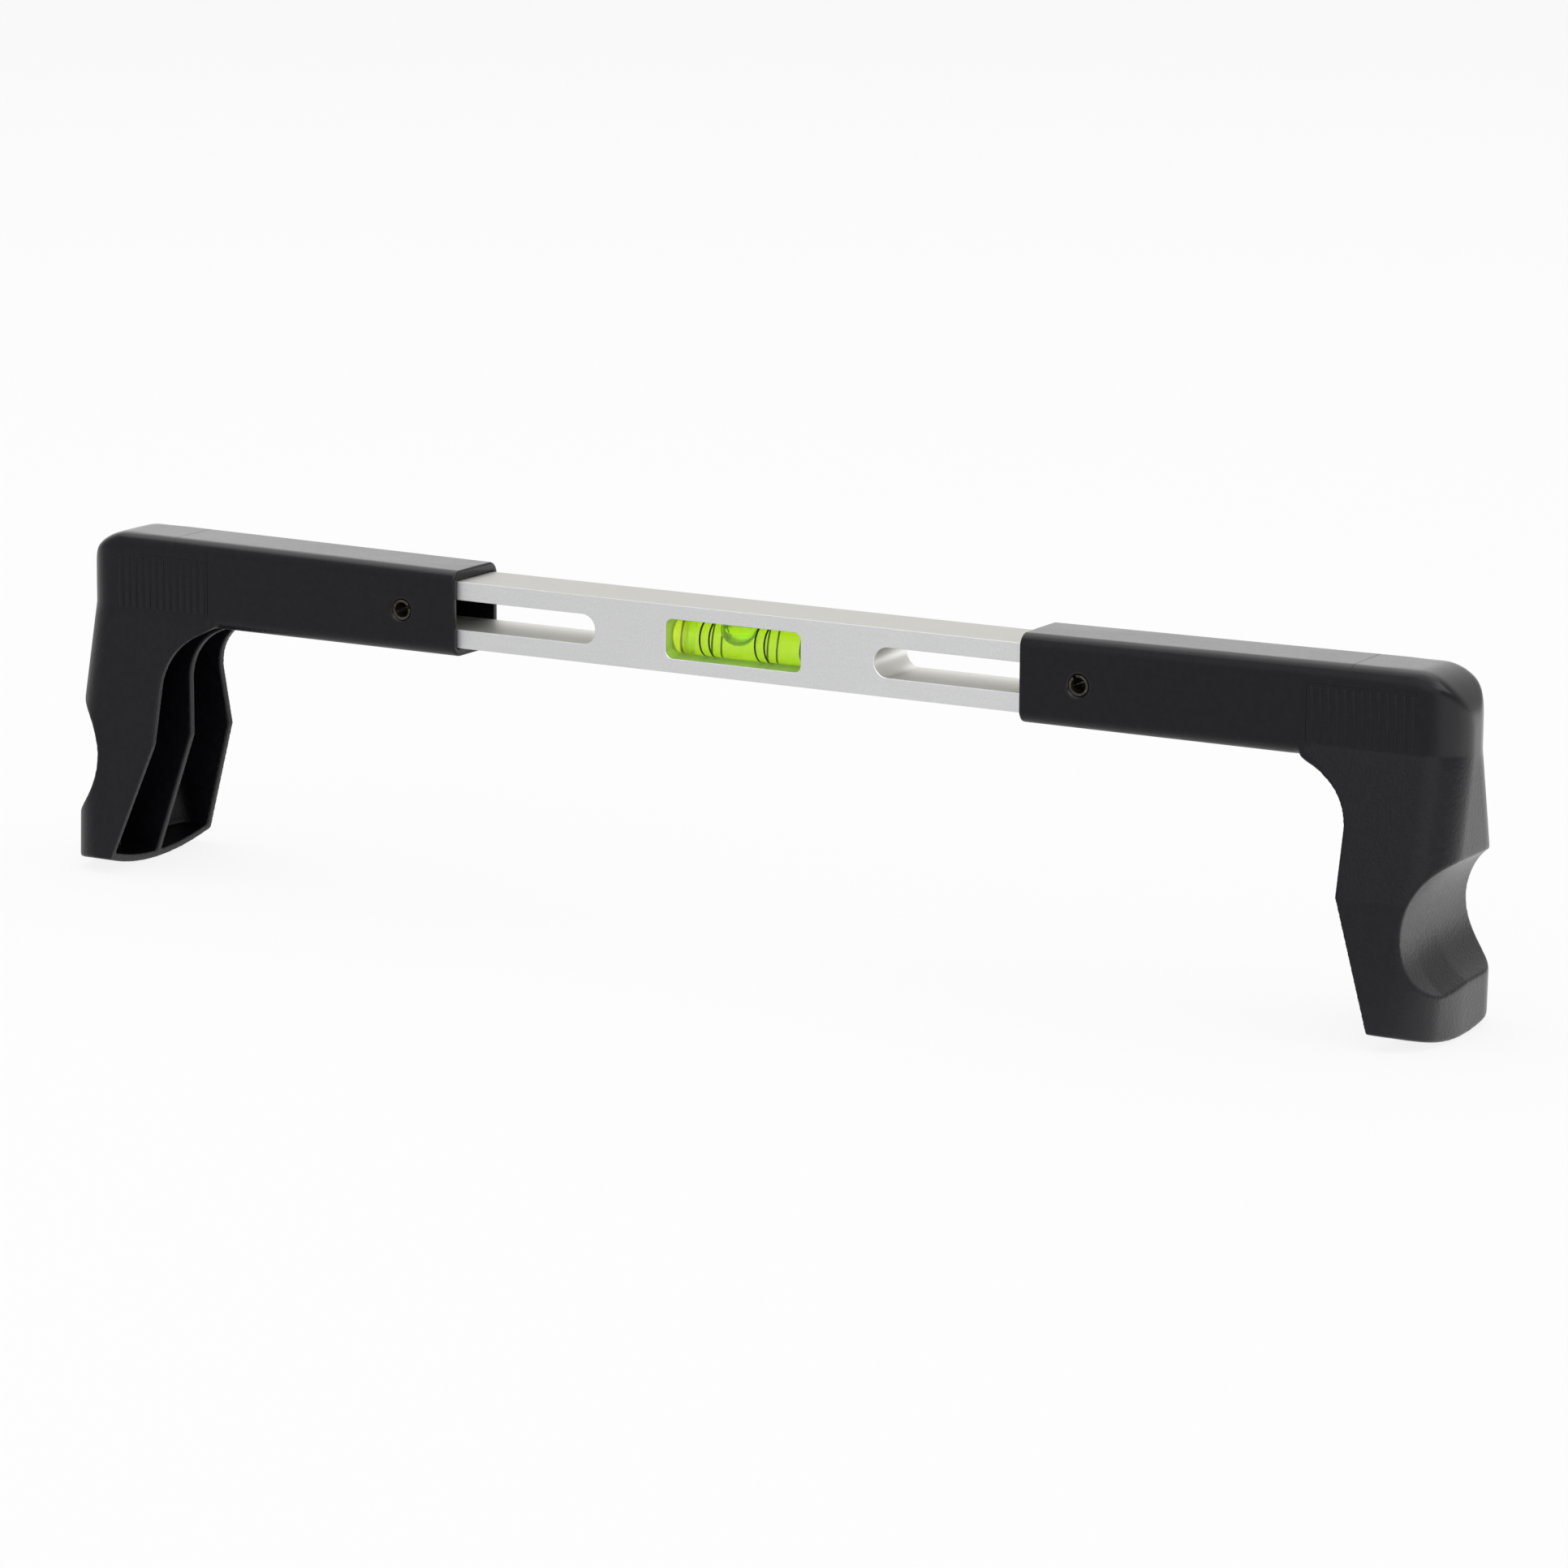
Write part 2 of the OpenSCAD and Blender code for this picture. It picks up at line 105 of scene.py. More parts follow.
def loft(name, rings):
    """A closed solid through rings with equally many points, by extruding the first."""
    deselect()
    rings = [[Vector((x, y, z + BAR_Z)) * MM for x, y, z in ring] for ring in rings]
    bpy.ops.mesh.primitive_circle_add(vertices=len(rings[0]), fill_type="NGON")
    obj = bpy.context.active_object
    obj.name = name
    for vertex, place in zip(obj.data.vertices, rings[0]):
        vertex.co = place
    for before, after in zip(rings, rings[1:]):
        bpy.ops.object.mode_set(mode="EDIT")
        bpy.ops.mesh.extrude_region_move()
        bpy.ops.object.mode_set(mode="OBJECT")
        for vertex in obj.data.vertices:
            if vertex.select:
                gaps = [(place - vertex.co).length_squared for place in before]
                vertex.co = after[gaps.index(min(gaps))]
    bpy.ops.object.mode_set(mode="EDIT")
    face_outwards()
    return obj


def finish_modifier(obj, kind, **settings):
    """Changes the mesh of an object by a modifier."""
    change = obj.modifiers.new(kind.lower(), kind)
    for key, value in settings.items():
        setattr(change, key, value)
    select_only(obj)
    bpy.ops.object.modifier_apply(modifier=change.name)
    return obj


def combine(obj, tool, operation):
    """Cuts, joins or trims a solid with another, which is used up."""
    finish_modifier(obj, "BOOLEAN", operation=operation, solver="EXACT", object=tool)
    bpy.data.objects.remove(tool)


def cut(obj, *tools):
    for tool in tools:
        combine(obj, tool, "DIFFERENCE")
    return obj


def join(obj, *tools):
    for tool in tools:
        combine(obj, tool, "UNION")
    return obj


def trim(obj, *tools):
    for tool in tools:
        combine(obj, tool, "INTERSECT")
    return obj


def tidy_mesh(obj, angle=0.4):
    """Merges doubles and joins faces that lie in one plane."""
    select_only(obj)
    bpy.ops.object.mode_set(mode="EDIT")
    bpy.ops.mesh.select_all(action="SELECT")
    bpy.ops.mesh.remove_doubles(threshold=0.004 * MM)
    bpy.ops.mesh.dissolve_limited(angle_limit=math.radians(angle))
    face_outwards()
    return obj


def bevel(obj, width, segments=3, angle=None, **settings):
    """Rounds every edge, or only the edges sharper than an angle."""
    if angle is None:
        settings["limit_method"] = "NONE"
    else:
        settings.update(limit_method="ANGLE", angle_limit=math.radians(angle))
    return finish_modifier(obj, "BEVEL", width=width * MM, segments=segments, **settings)


def smooth(obj, angle):
    """Shades an object smoothly, apart from edges sharper than an angle."""
    select_only(obj)
    bpy.ops.object.shade_smooth_by_angle(angle=math.radians(angle))
    return obj


def smooth_evenly(obj, angle):
    """The same, with the large faces shaded flat."""
    return finish_modifier(smooth(obj, angle), "WEIGHTED_NORMAL", keep_sharp=True)


def gather(name, parts):
    """Joins several pieces into one object."""
    deselect()
    for part in parts:
        part.select_set(True)
    bpy.context.view_layer.objects.active = parts[0]
    bpy.ops.object.join()
    parts[0].name = name
    return parts[0]


def copy_turned(obj, name):
    """A copy with its own mesh, turned half a turn about the upright axis."""
    twin = obj.copy()
    twin.data = obj.data.copy()
    twin.name = name
    scene.collection.objects.link(twin)
    twin.rotation_euler = (0, 0, math.pi)
    return settle(twin)


def arc(cx, cz, radius, start, end, steps):
    """Points on a circle between two angles in degrees."""
    return [
        (cx + radius * math.cos(math.radians(start + (end - start) * i / steps)),
         cz + radius * math.sin(math.radians(start + (end - start) * i / steps)))
        for i in range(steps + 1)
    ]


def round_box(low_a, high_a, low_b, high_b, radius, steps=8):
    """Outline of a rectangle with round corners."""
    return (arc(high_a - radius, low_b + radius, radius, -90, 0, steps)
            + arc(high_a - radius, high_b - radius, radius, 0, 90, steps)
            + arc(low_a + radius, high_b - radius, radius, 90, 180, steps)
            + arc(low_a + radius, low_b + radius, radius, 180, 270, steps))


# Materials, in which places are in metres and heights are from the ground

class Value:
    """A number or colour in a material, on which sums are written as expressions."""

    def __init__(self, finish, socket):
        self.finish = finish
        self.socket = socket

    def __add__(self, other):
        return self.finish.math("ADD", self, other)

    def __radd__(self, other):
        return self.finish.math("ADD", other, self)

    def __sub__(self, other):
        return self.finish.math("SUBTRACT", self, other)

    def __rsub__(self, other):
        return self.finish.math("SUBTRACT", other, self)

    def __mul__(self, other):
        return self.finish.math("MULTIPLY", self, other)

    def __rmul__(self, other):
        return self.finish.math("MULTIPLY", other, self)


class Finish:
    """A material, or the world, made of nodes."""

    def __init__(self, owner):
        owner.use_nodes = True
        self.owner = owner
        self.tree = owner.node_tree
        self.tree.nodes.clear()

    def node(self, kind, inputs=None, output=0, **settings):
        """Adds a node with its settings and the values or links of its sockets."""
        new = self.tree.nodes.new("ShaderNode" + kind)
        for key, value in settings.items():
            setattr(new, key, value)
        for key, value in (inputs or {}).items():
            if isinstance(value, Value):
                self.tree.links.new(value.socket, new.inputs[key])
            else:
                new.inputs[key].default_value = value
        return Value(self, new.outputs[output]) if new.outputs else None

    def math(self, operation, first, second=0.0):
        return self.node("Math", {0: first, 1: second}, operation=operation)

    def colour_mix(self, share, first, second):
        return self.node("Mix", {0: share, 6: first, 7: second}, 2, data_type="RGBA")

    def number_mix(self, share, first, second):
        return self.node("Mix", {0: share, 2: first, 3: second}, data_type="FLOAT")

    def step(self, value, low, high):
        """From 0 at one value to 1 at another, smoothly."""
        return self.node("MapRange", {"Value": value, "From Min": low, "From Max": high},
                         interpolation_type="SMOOTHSTEP")

    def near(self, offset, low, high):
        """1 where an offset is close to 0, falling to 0 between two distances."""
        return 1 - self.step(self.math("ABSOLUTE", offset), low, high)

    def noise(self, place, scale, detail, roughness=0.5):
        return self.node("TexNoise", {"Vector": place, "Scale": scale, "Detail": detail,
                                      "Roughness": roughness})

    def stretched(self, place, scale):
        return self.node("Mapping", {"Vector": place, "Scale": scale})

    def axes(self, place):
        """The three coordinates of a place."""
        first = self.node("SeparateXYZ", {0: place})
        return [Value(self, socket) for socket in first.socket.node.outputs]

    def specks(self, place, scale, radius, share):
        """Small round spots, one in some of the cells of a scattered grid."""
        cells = self.node("TexVoronoi", {"Vector": place, "Scale": scale}, "Distance")
        kind = self.node("TexVoronoi", {"Vector": place, "Scale": scale}, "Color")
        chosen = self.math("LESS_THAN", self.node("SeparateColor", {0: kind}), share)
        return (1 - self.step(cells, radius * scale * 0.6, radius * scale)) * chosen

    def bump(self, strength, distance, height):
        return self.node("Bump", {"Strength": strength, "Distance": distance, "Height": height})

    def ray(self, kind):
        """1 for the light rays of one kind, and 0 for the others."""
        return self.node("LightPath", output="Is " + kind + " Ray")

    def strength_by_ray(self, plain, mirrored):
        """A lamp's strength, which differs in mirrored views and behind clear pieces."""
        strength = self.number_mix(self.ray("Glossy"), plain, mirrored)
        strength = self.number_mix(self.ray("Transmission"), strength, 1.15)
        return self.number_mix(self.ray("Camera"), strength, 1.0)

    def surface(self, **inputs):
        """The main shader of a material."""
        shader = self.node("BsdfPrincipled",
                           {key.replace("_", " "): value for key, value in inputs.items()})
        self.node("OutputMaterial", {"Surface": shader})
        return self.owner


def new_finish(name):
    """A new material, and the place in the object's own space."""
    finish = Finish(bpy.data.materials.new(name))
    return finish, finish.node("TexCoord", output="Object")


def moulded_plastic():
    """Black plastic, smoother on the sleeves than on the legs, with a fine line on each."""
    finish, place = new_finish("moulded_black_plastic")
    grain = finish.noise(place, 2600, 2)
    mottle = finish.noise(place, 420, 3, 0.6)
    cloud = finish.noise(place, 45, 2)
    sand = finish.noise(place, 1100, 2, 0.7)
    dust = finish.specks(place, 110, 0.00016, 0.16)
    x, _, z = finish.axes(place)
    x = finish.math("ABSOLUTE", x)
    leg = 1 - finish.step(z, 0.0745, 0.0830)
    seam = finish.near(x - 0.195, 0.00008, 0.0002) * finish.step(z, 0.0985, 0.0995)
    lean = (0.0796 - z) * 0.10
    ridge = finish.near(x - 0.1975 + lean, 0.00008, 0.00022) * finish.step(z, 0.060, 0.066)
    colour = finish.colour_mix(finish.step(mottle, 0.3, 0.75), (0.0030, 0.0030, 0.0048, 1),
                               (0.0052, 0.0052, 0.0078, 1))
    colour = finish.colour_mix(seam * 0.9, colour, (0.001, 0.001, 0.001, 1))
    colour = finish.colour_mix(dust * 0.5, colour, (0.30, 0.30, 0.31, 1))
    roughness = (0.22 + 0.06 * mottle + 0.05 * cloud + 0.25 * seam
                 + leg * (0.04 + 0.12 * sand))
    height = ((grain * 0.6 + mottle * 0.5) * (0.15 + 0.85 * leg) - seam * 12
              + leg * (sand * 12 + ridge * 9))
    return finish.surface(Base_Color=colour, Roughness=roughness, IOR=1.38,
                          Normal=finish.bump(0.14, 0.0001, height))


def satin_aluminium():
    """Bright metal, with painted shade that darkens the top and the slots, and painted green
    light and glow from the vial on the walls of the window.
    """
    finish, place = new_finish("satin_aluminium")
    drawn = finish.noise(finish.stretched(place, (60, 900, 900)), 1.0, 3, 0.6)
    speckle = finish.noise(place, 1500, 2, 0.6)
    cloud = finish.noise(place, 70, 3)
    pits = finish.specks(place, 90, 0.00018, 0.13)
    dust = finish.specks(finish.stretched(place, (1.31, 1.17, 1.23)), 75, 0.00016, 0.12)
    x, y, z = finish.axes(place)
    rise = z - BAR_Z * MM
    # The top face gets a darker, warmer tint below, which is painted shade and a painted warm
    # reflection
    top = finish.step(z, 0.0983, 0.0986)
    # The walls of the slots get painted shade, a darker, warmer tint
    slots = (finish.step(finish.math("ABSOLUTE", x), 0.0460, 0.0466)
             * finish.near(y, 0.0092, 0.0099) * finish.near(rise, 0.0044, 0.0047))
    # The walls of the window get painted green light from the vial, in their colour and as a
    # glow
    inside = (finish.near(x, 0.0222, 0.0228) * finish.near(y, 0.0090, 0.0098)
              * finish.near(rise, 0.0058, 0.0064))
    tone = speckle * 0.7 + drawn * 0.15 + cloud * 0.15
    colour = finish.colour_mix(finish.step(tone, 0.3, 0.7), (0.87, 0.875, 0.885, 1),
                               (0.95, 0.95, 0.955, 1))
    # Tints over the metal: painted shade on top and in the slots, painted green light in the
    # window, and real pits and dust
    for share, tint in (
            (top * 0.6, (0.38, 0.37, 0.325, 1)),
            (slots * 0.6, (0.74, 0.73, 0.67, 1)),
            (inside * 0.85, (0.62, 0.86, 0.22, 1)),
            (pits * 0.55, (0.25, 0.25, 0.28, 1)),
            (dust * 0.8, (0.95, 0.95, 0.95, 1))):
        colour = finish.colour_mix(share, colour, tint)
    # A painted green glow on the walls of the window, though they are no lamp
    glow = finish.colour_mix(inside, (0, 0, 0, 1), (0.10, 0.15, 0.03, 1))
    return finish.surface(
        Base_Color=colour, Roughness=0.42 + 0.10 * speckle + 0.06 * drawn, Metallic=1.0,
        Specular_Tint=(0.35, 0.35, 0.34, 1), Emission_Color=glow, Emission_Strength=1.0,
        Normal=finish.bump(0.10, 0.00008, speckle * 0.7 + drawn * 0.5))


def clear_acrylic():
    finish, place = new_finish("clear_acrylic")
    ripple = finish.noise(finish.stretched(place, (90, 260, 260)), 1.0, 1)
    colour = finish.colour_mix(ripple, (0.61, 0.76, 0.12, 1), (0.67, 0.79, 0.15, 1))
    return finish.surface(Base_Color=colour, Roughness=0.0, IOR=1.49, Transmission_Weight=1.0,
                          Normal=finish.bump(0.05, 0.0002, ripple))


def vial_liquid():
    finish, place = new_finish("vial_spirit")
    cloud = finish.noise(place, 120, 1)
    colour = finish.colour_mix(cloud, (0.90, 0.98, 0.55, 1), (0.93, 0.99, 0.62, 1))
    # The emission is a painted yellow-green glow of the liquid
    return finish.surface(Base_Color=colour, Roughness=0.0, IOR=1.36, Transmission_Weight=1.0,
                          Emission_Color=(0.030, 0.055, 0.018, 1), Emission_Strength=1.0)


def plug_plastic():
    finish, place = new_finish("plug_plastic")
    cloud = finish.noise(place, 500, 2)
    colour = finish.colour_mix(cloud, (0.97, 0.95, 0.70, 1), (0.99, 0.97, 0.78, 1))
    # The emission is a painted pale yellow glow of the plug
    return finish.surface(Base_Color=colour, Roughness=0.05 + 0.06 * cloud, IOR=1.47,
                          Transmission_Weight=1.0, Emission_Color=(0.06, 0.06, 0.02, 1),
                          Emission_Strength=1.0)


def ring_ink():
    finish, place = new_finish("ring_ink")
    wear = finish.noise(place, 2200, 2)
    colour = finish.colour_mix(wear, (0.006, 0.011, 0.005, 1), (0.016, 0.028, 0.010, 1))
    return finish.surface(Base_Color=colour, Roughness=0.45 + 0.1 * wear, IOR=1.5)


def steel(name, dark, light, roughness, along):
    """Drawn or rolled steel with fine lines along one direction."""
    finish, place = new_finish(name)
    lines = finish.noise(finish.stretched(place, along), 1.0, 3, 0.6)
    stain = finish.noise(place, 600, 3)
    colour = finish.colour_mix(finish.step(lines * 0.5 + stain * 0.5, 0.35, 0.65), dark, light)
    return finish.surface(Base_Color=colour, Roughness=roughness + 0.15 * stain, Metallic=0.9,
                          Normal=finish.bump(0.15, 0.00005, lines))


PLASTIC = moulded_plastic()
ALUMINIUM = satin_aluminium()
ACRYLIC = clear_acrylic()
SPIRIT = vial_liquid()
PLUG = plug_plastic()
INK = ring_ink()
PIN_STEEL = steel("blackened_steel", (0.045, 0.040, 0.034, 1), (0.12, 0.105, 0.085, 1), 0.30,
                  (1500, 150, 1500))
WIRE_STEEL = steel("spring_wire", (0.36, 0.36, 0.37, 1), (0.55, 0.55, 0.56, 1), 0.25,
                   (300, 1800, 1800))


def dress(obj, material):
    """Gives a piece one material."""
    obj.data.materials.clear()
    obj.data.materials.append(material)
    return obj


# Bar

BAR_HALF = 10.0
BAR_END = 124.0
BAR_BEVEL = 0.28
WINDOW_END = 22.4
WINDOW_HALF = 5.8
WINDOW_ROUND = 2.2
SLOT_INNER = 50.8
SLOT_OUTER = 111.3
SLOT_R = 4.4
# Depth to either side that cuts through the bar
THROUGH = 12


def model_bar():
    """The slotted bar, with its window, its slots and a fine bevel on every edge."""
    bar = block("bar_shell", (-BAR_END, -BAR_HALF, -BAR_HALF), (BAR_END, BAR_HALF, BAR_HALF))
    outline = round_box(-WINDOW_END, WINDOW_END, -WINDOW_HALF, WINDOW_HALF, WINDOW_ROUND, 10)
    cut(bar, loft("window", [[(x, y, z) for x, z in outline] for y in (-THROUGH, THROUGH)]))
    outline = arc(SLOT_OUTER, 0, SLOT_R, -90, 90, 40) + arc(SLOT_INNER, 0, SLOT_R, 90, 270, 40)
    for side in (-1, 1):
        cut(bar, loft("slot", [[(side * x, y, z) for x, z in outline]
                               for y in (-THROUGH, THROUGH)]))
    tidy_mesh(bar, 0.1)
    return smooth_evenly(bevel(bar, BAR_BEVEL, angle=40), 50)


bar = dress(model_bar(), ALUMINIUM)
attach(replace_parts(bar, "centre_bar"), "bar")


# Vial

VIAL_Y = -1.5
VIAL_R = 5.7
VIAL_HALF = 22.3
VIAL_ROUND = 1.3
VIAL_SIDES = 128
BORE_R = 4.4
BORE_TIP_R = 4.05
BORE_LEFT = -17.7
BORE_RIGHT = 19.7
BORE_STEPS = 16
# Radii of the two rings on a flat end, of which the inner one is filled
END_OUTER = 2.0
END_INNER = 0.3
# How far the liquid and the plug reach into the wall, so that no two faces coincide
SNUG = 0.02
BUBBLE_X = -1.9
BUBBLE_RISE = 2.7
BUBBLE_RADII = (6.1, 3.9, 4.1)
# Gap between the bubble and the wall of the bore
BUBBLE_GAP = 0.05
RING_X = (-12.65, -9.55, 5.75, 8.85)
RING_R = 5.72
RING_INNER_R = 5.62
RING_WIDTH = 0.6


def turned(name, outline):
    """A solid of revolution about the axis of the vial, from an outline of (x, radius)."""
    angles = [2 * math.pi * i / VIAL_SIDES for i in range(VIAL_SIDES)]
    return loft(name, [[(x, VIAL_Y + radius * math.cos(angle), radius * math.sin(angle))
                        for angle in angles] for x, radius in outline])


def bore_outline(grow=0.0):
    """Outline of the barrelled bore, or of one that is larger all round."""
    half = (BORE_RIGHT - BORE_LEFT) / 2
    middle = (BORE_RIGHT + BORE_LEFT) / 2
    points = [(BORE_LEFT - grow, END_INNER), (BORE_LEFT - grow, END_OUTER)]
    for i in range(BORE_STEPS + 1):
        t = 2 * i / BORE_STEPS - 1
        radius = BORE_R - (BORE_R - BORE_TIP_R) * t * t
        points.append((middle + t * (half + grow), radius + grow))
    return points + [(BORE_RIGHT + grow, END_OUTER), (BORE_RIGHT + grow, END_INNER)]


def model_tube():
    """The clear tube, from the closed end of its bore round by its open end."""
    across = VIAL_HALF - VIAL_ROUND
    up = VIAL_R - VIAL_ROUND
    corner = arc(0, 0, VIAL_ROUND, 0, 90, 10)
    outline = bore_outline()[:1:-1] + [(-VIAL_HALF, BORE_TIP_R)]
    outline += [(-across - x, up + y) for x, y in corner]
    outline += [(across + x, up + y) for x, y in reversed(corner)]
    return turned("vial_shell", outline + [(VIAL_HALF, END_OUTER), (VIAL_HALF, END_INNER)])


def model_spirit():
    """The liquid, with the bubble as a hollow in it."""
    spirit = turned("vial_spirit", bore_outline(SNUG))
    deselect()
    bpy.ops.mesh.primitive_uv_sphere_add(
        segments=94, ring_count=62, radius=1,
        location=(BUBBLE_X * MM, VIAL_Y * MM, (BAR_Z + BUBBLE_RISE) * MM))
    bubble = bpy.context.active_object
    bubble.scale = [radius * MM for radius in BUBBLE_RADII]
    trim(settle(bubble), turned("bubble_room", bore_outline(-BUBBLE_GAP)))
    return cut(spirit, bubble)


def model_plug():
    """The plug in the open end of the tube."""
    start = -VIAL_HALF + SNUG
    radius = BORE_TIP_R + SNUG
    return turned("vial_stopper", [(start, END_INNER), (start, radius),
                                   (BORE_LEFT, radius), (BORE_LEFT, END_INNER)])


def ring_band(x):
    """One printed line round the vial, a thin closed band."""
    band = rod("line", (x, VIAL_Y, 0), "x", RING_R, RING_WIDTH, VIAL_SIDES)
    return cut(band, rod("core", (x, VIAL_Y, 0), "x", RING_INNER_R, 2, VIAL_SIDES))


for piece, node, material, slot, angle in (
        (model_tube(), "vial_tube", ACRYLIC, "vial_clear", 30),
        (model_spirit(), "vial_liquid", SPIRIT, "vial_liquid", 40),
        (model_plug(), "vial_plug", PLUG, "vial_plug", 30),
        (gather("vial_lines", [ring_band(x) for x in RING_X]), "vial_rings", INK,
         "ring_black", 40)):
    dress(smooth(piece, angle), material)
    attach(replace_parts(piece, node), "bar")


# Pins

PIN_R = 3.0
PIN_INNER_R = 2.3
PIN_LENGTH = 23.4
PIN_BEVEL = 0.16
SLIT_HALF = 0.55


def model_pin(name, x, slit_angle):
    """A rolled spring pin, a slit tube with bevelled ends."""
    pin = rod(name, (x, 0, 0), "y", PIN_R, PIN_LENGTH)
    cut(pin, rod("core", (x, 0, 0), "y", PIN_INNER_R, 30))
    slit = block("slit", (x, -20, -SLIT_HALF), (x + 2 * PIN_R, 20, SLIT_HALF))
    centre = Vector((x, 0, BAR_Z)) * MM
    slit.data.transform(Matrix.Translation(centre)
                        @ Matrix.Rotation(math.radians(slit_angle), 4, "Y")
                        @ Matrix.Translation(-centre))
    cut(pin, slit)
    return smooth(bevel(pin, PIN_BEVEL, angle=40, harden_normals=True), 30)


for side, x, angle in (("left", -PIN_X, -23), ("right", PIN_X, -120)):
    pin = dress(model_pin(side + "_roll_pin", x, angle), PIN_STEEL)
    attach(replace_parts(pin, side + "_pin"), side + "_slider")


# Springs

SPRING_START = 124.1
SPRING_LENGTH = 89.8
SPRING_R = 6.9
WIRE_R = 0.6
SPRING_TURNS = 13
CLOSED_PITCH = 1.7
POINTS_PER_TURN = 28


def spring_rise(turn):
    """How far along the spring a turn lies; the first and last turns are closed."""
    open_pitch = (SPRING_LENGTH - 2 * WIRE_R - 2 * CLOSED_PITCH) / SPRING_TURNS
    open_turns = min(max(turn - 1, 0), SPRING_TURNS)
    closed_turns = min(turn, 1) + max(turn - 1 - SPRING_TURNS, 0)
    return WIRE_R + closed_turns * CLOSED_PITCH + open_turns * open_pitch


def model_spring(name, side):
    """A coil of round wire, swept along its centre line."""
    path = bpy.data.curves.new(name, "CURVE")
    path.dimensions = "3D"
    path.bevel_depth = WIRE_R * MM
    path.bevel_resolution = 3
    path.use_fill_caps = True
    line = path.splines.new("POLY")
    line.points.add((SPRING_TURNS + 2) * POINTS_PER_TURN)
    for i, point in enumerate(line.points):
        turn = i / POINTS_PER_TURN
        angle = 2 * math.pi * turn
        place = Vector((side * (SPRING_START + spring_rise(turn)), SPRING_R * math.cos(angle),
                        BAR_Z + SPRING_R * math.sin(angle))) * MM
        point.co = (*place, 1)
    spring = bpy.data.objects.new(name, path)
    scene.collection.objects.link(spring)
    select_only(spring)
    bpy.ops.object.convert(target="MESH")
    return smooth(bpy.context.active_object, 60)


for name, side in (("left", -1), ("right", 1)):
    spring = dress(model_spring(name + "_coil", side), WIRE_STEEL)
    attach(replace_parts(spring, name + "_spring"), "bar")
    side * 0.124
    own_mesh(spring)


# Arms

MOUTH_X = 93.9
OUTER_X = 228.2
SLEEVE_HALF = 12.2
SLEEVE_LOW = -12.7
SLEEVE_TOP = 13.1
SLEEVE_ROUND = 4
# The top rises by half a degree from the mouth to the outer end
TOP_RISE = (OUTER_X - MOUTH_X) * math.tan(math.radians(0.5))
TOP_END = SLEEVE_TOP + TOP_RISE
CROWN_R = 15
LEG_START = 180.4
LEG_TOP = -8.7
LEG_ROUND = 10.8
KNEE_X = 196.6
KNEE_Z = -48.6
KNEE_HALF = 21.7
LEG_END = -89.6
LEG_SLOPE = 12.5 / 35.6
THROAT_X = 179.1
THROAT_Z = -31.5
THROAT_R = 17.5
THROAT_REACH = 5.8
FOOT_HALF = 27.8
FOOT_ROUND = 13
FOOT_DRAFT = 2.4
FOOT_BULGE = 5
# Radius of the sole, from half its width and its rise
SOLE_HALF = 27
SOLE_RISE = 4.4
SOLE_R = (SOLE_HALF ** 2 + SOLE_RISE ** 2) / (2 * SOLE_RISE)
# Degrees of its arc to either side, which ends wider than the foot
SOLE_SPAN = 22
WALL = 2.4
RIB_HALF = 1.2
SLEEVE_BORE_HALF = 10.15
CLEAN_BORE_HALF = 10.28
BORE_START = 80
BORE_END = 214
# The pin's hole, and the round recess at each end of it
HOLE_R = 3.02
HOLE_SIDES = 64
RECESS_R = 3.5
RECESS_Y = 13.5
RECESS_DEPTH = 4
# Ends of the cutters, past the mouth, past the outer face and below the sole
PAST_MOUTH = 60
PAST_OUTER = 240
BELOW = -120
HOLLOW_START = 90
HOLLOW_END = 250
HOLLOW_HALF = 60
FACET_STEPS = 16
# The scoop for the wheel rim, as circles at several depths: depth, centre, drop and radius
SEAT = (
    (-60, 239.1, 57.0, 22.5),
    (-13, 238.6, 56.7, 22.0),
    (1, 237.0, 55.6, 20.3),
    (60, 235.6, 54.8, 18.8),
)
# Half the depth of the arm's slab, and of the stretch over which the lips follow the scoop
SLAB_HALF = 40
# Distance from an edge at which its rounding ends
LIP_REACH = 2.5
FINE_VOXEL = 0.35
MOST_FACES = 90000


def level_ring(z, half, radius, outer, inset=0, start=LEG_START, bulge=0.0):
    """Level section of the leg, square inside and round at its outer corners."""
    side = half - radius
    points = [(start, inset - half)]
    points += arc(outer - radius, -side, radius - inset, -90, 0, FACET_STEPS)
    points += [(outer - inset, side * t / FACET_STEPS)
               for t in range(1 - FACET_STEPS, FACET_STEPS)]
    points += arc(outer - radius, side, radius - inset, 0, 90, FACET_STEPS)
    points += [(start, half - inset)]
    return [(x - max(0, x - outer + radius) / radius * bulge * (min(0, y) / half) ** 2, y, z)
            for x, y in points]


def leg_loft(name, inset=0):
    """The leg as a taper through its top, its knee and its foot."""
    return loft(name, [
        level_ring(LEG_TOP, SLEEVE_HALF, LEG_ROUND, OUTER_X, inset),
        level_ring(KNEE_Z, KNEE_HALF, LEG_ROUND, OUTER_X, inset),
        level_ring(LEG_END, FOOT_HALF, FOOT_ROUND, OUTER_X - FOOT_DRAFT, inset,
                   bulge=FOOT_BULGE)])


def sole_block(name, inset=0):
    """All that lies above the curved sole."""
    sole = arc(0, SOLE_R - BAR_Z, SOLE_R - inset, 270 - SOLE_SPAN, 270 + SOLE_SPAN, 48)
    outline = [(-31, 20)] + sole + [(31, 20)]
    return loft(name, [[(x, y, z) for y, z in outline] for x in (PAST_MOUTH, PAST_OUTER)])


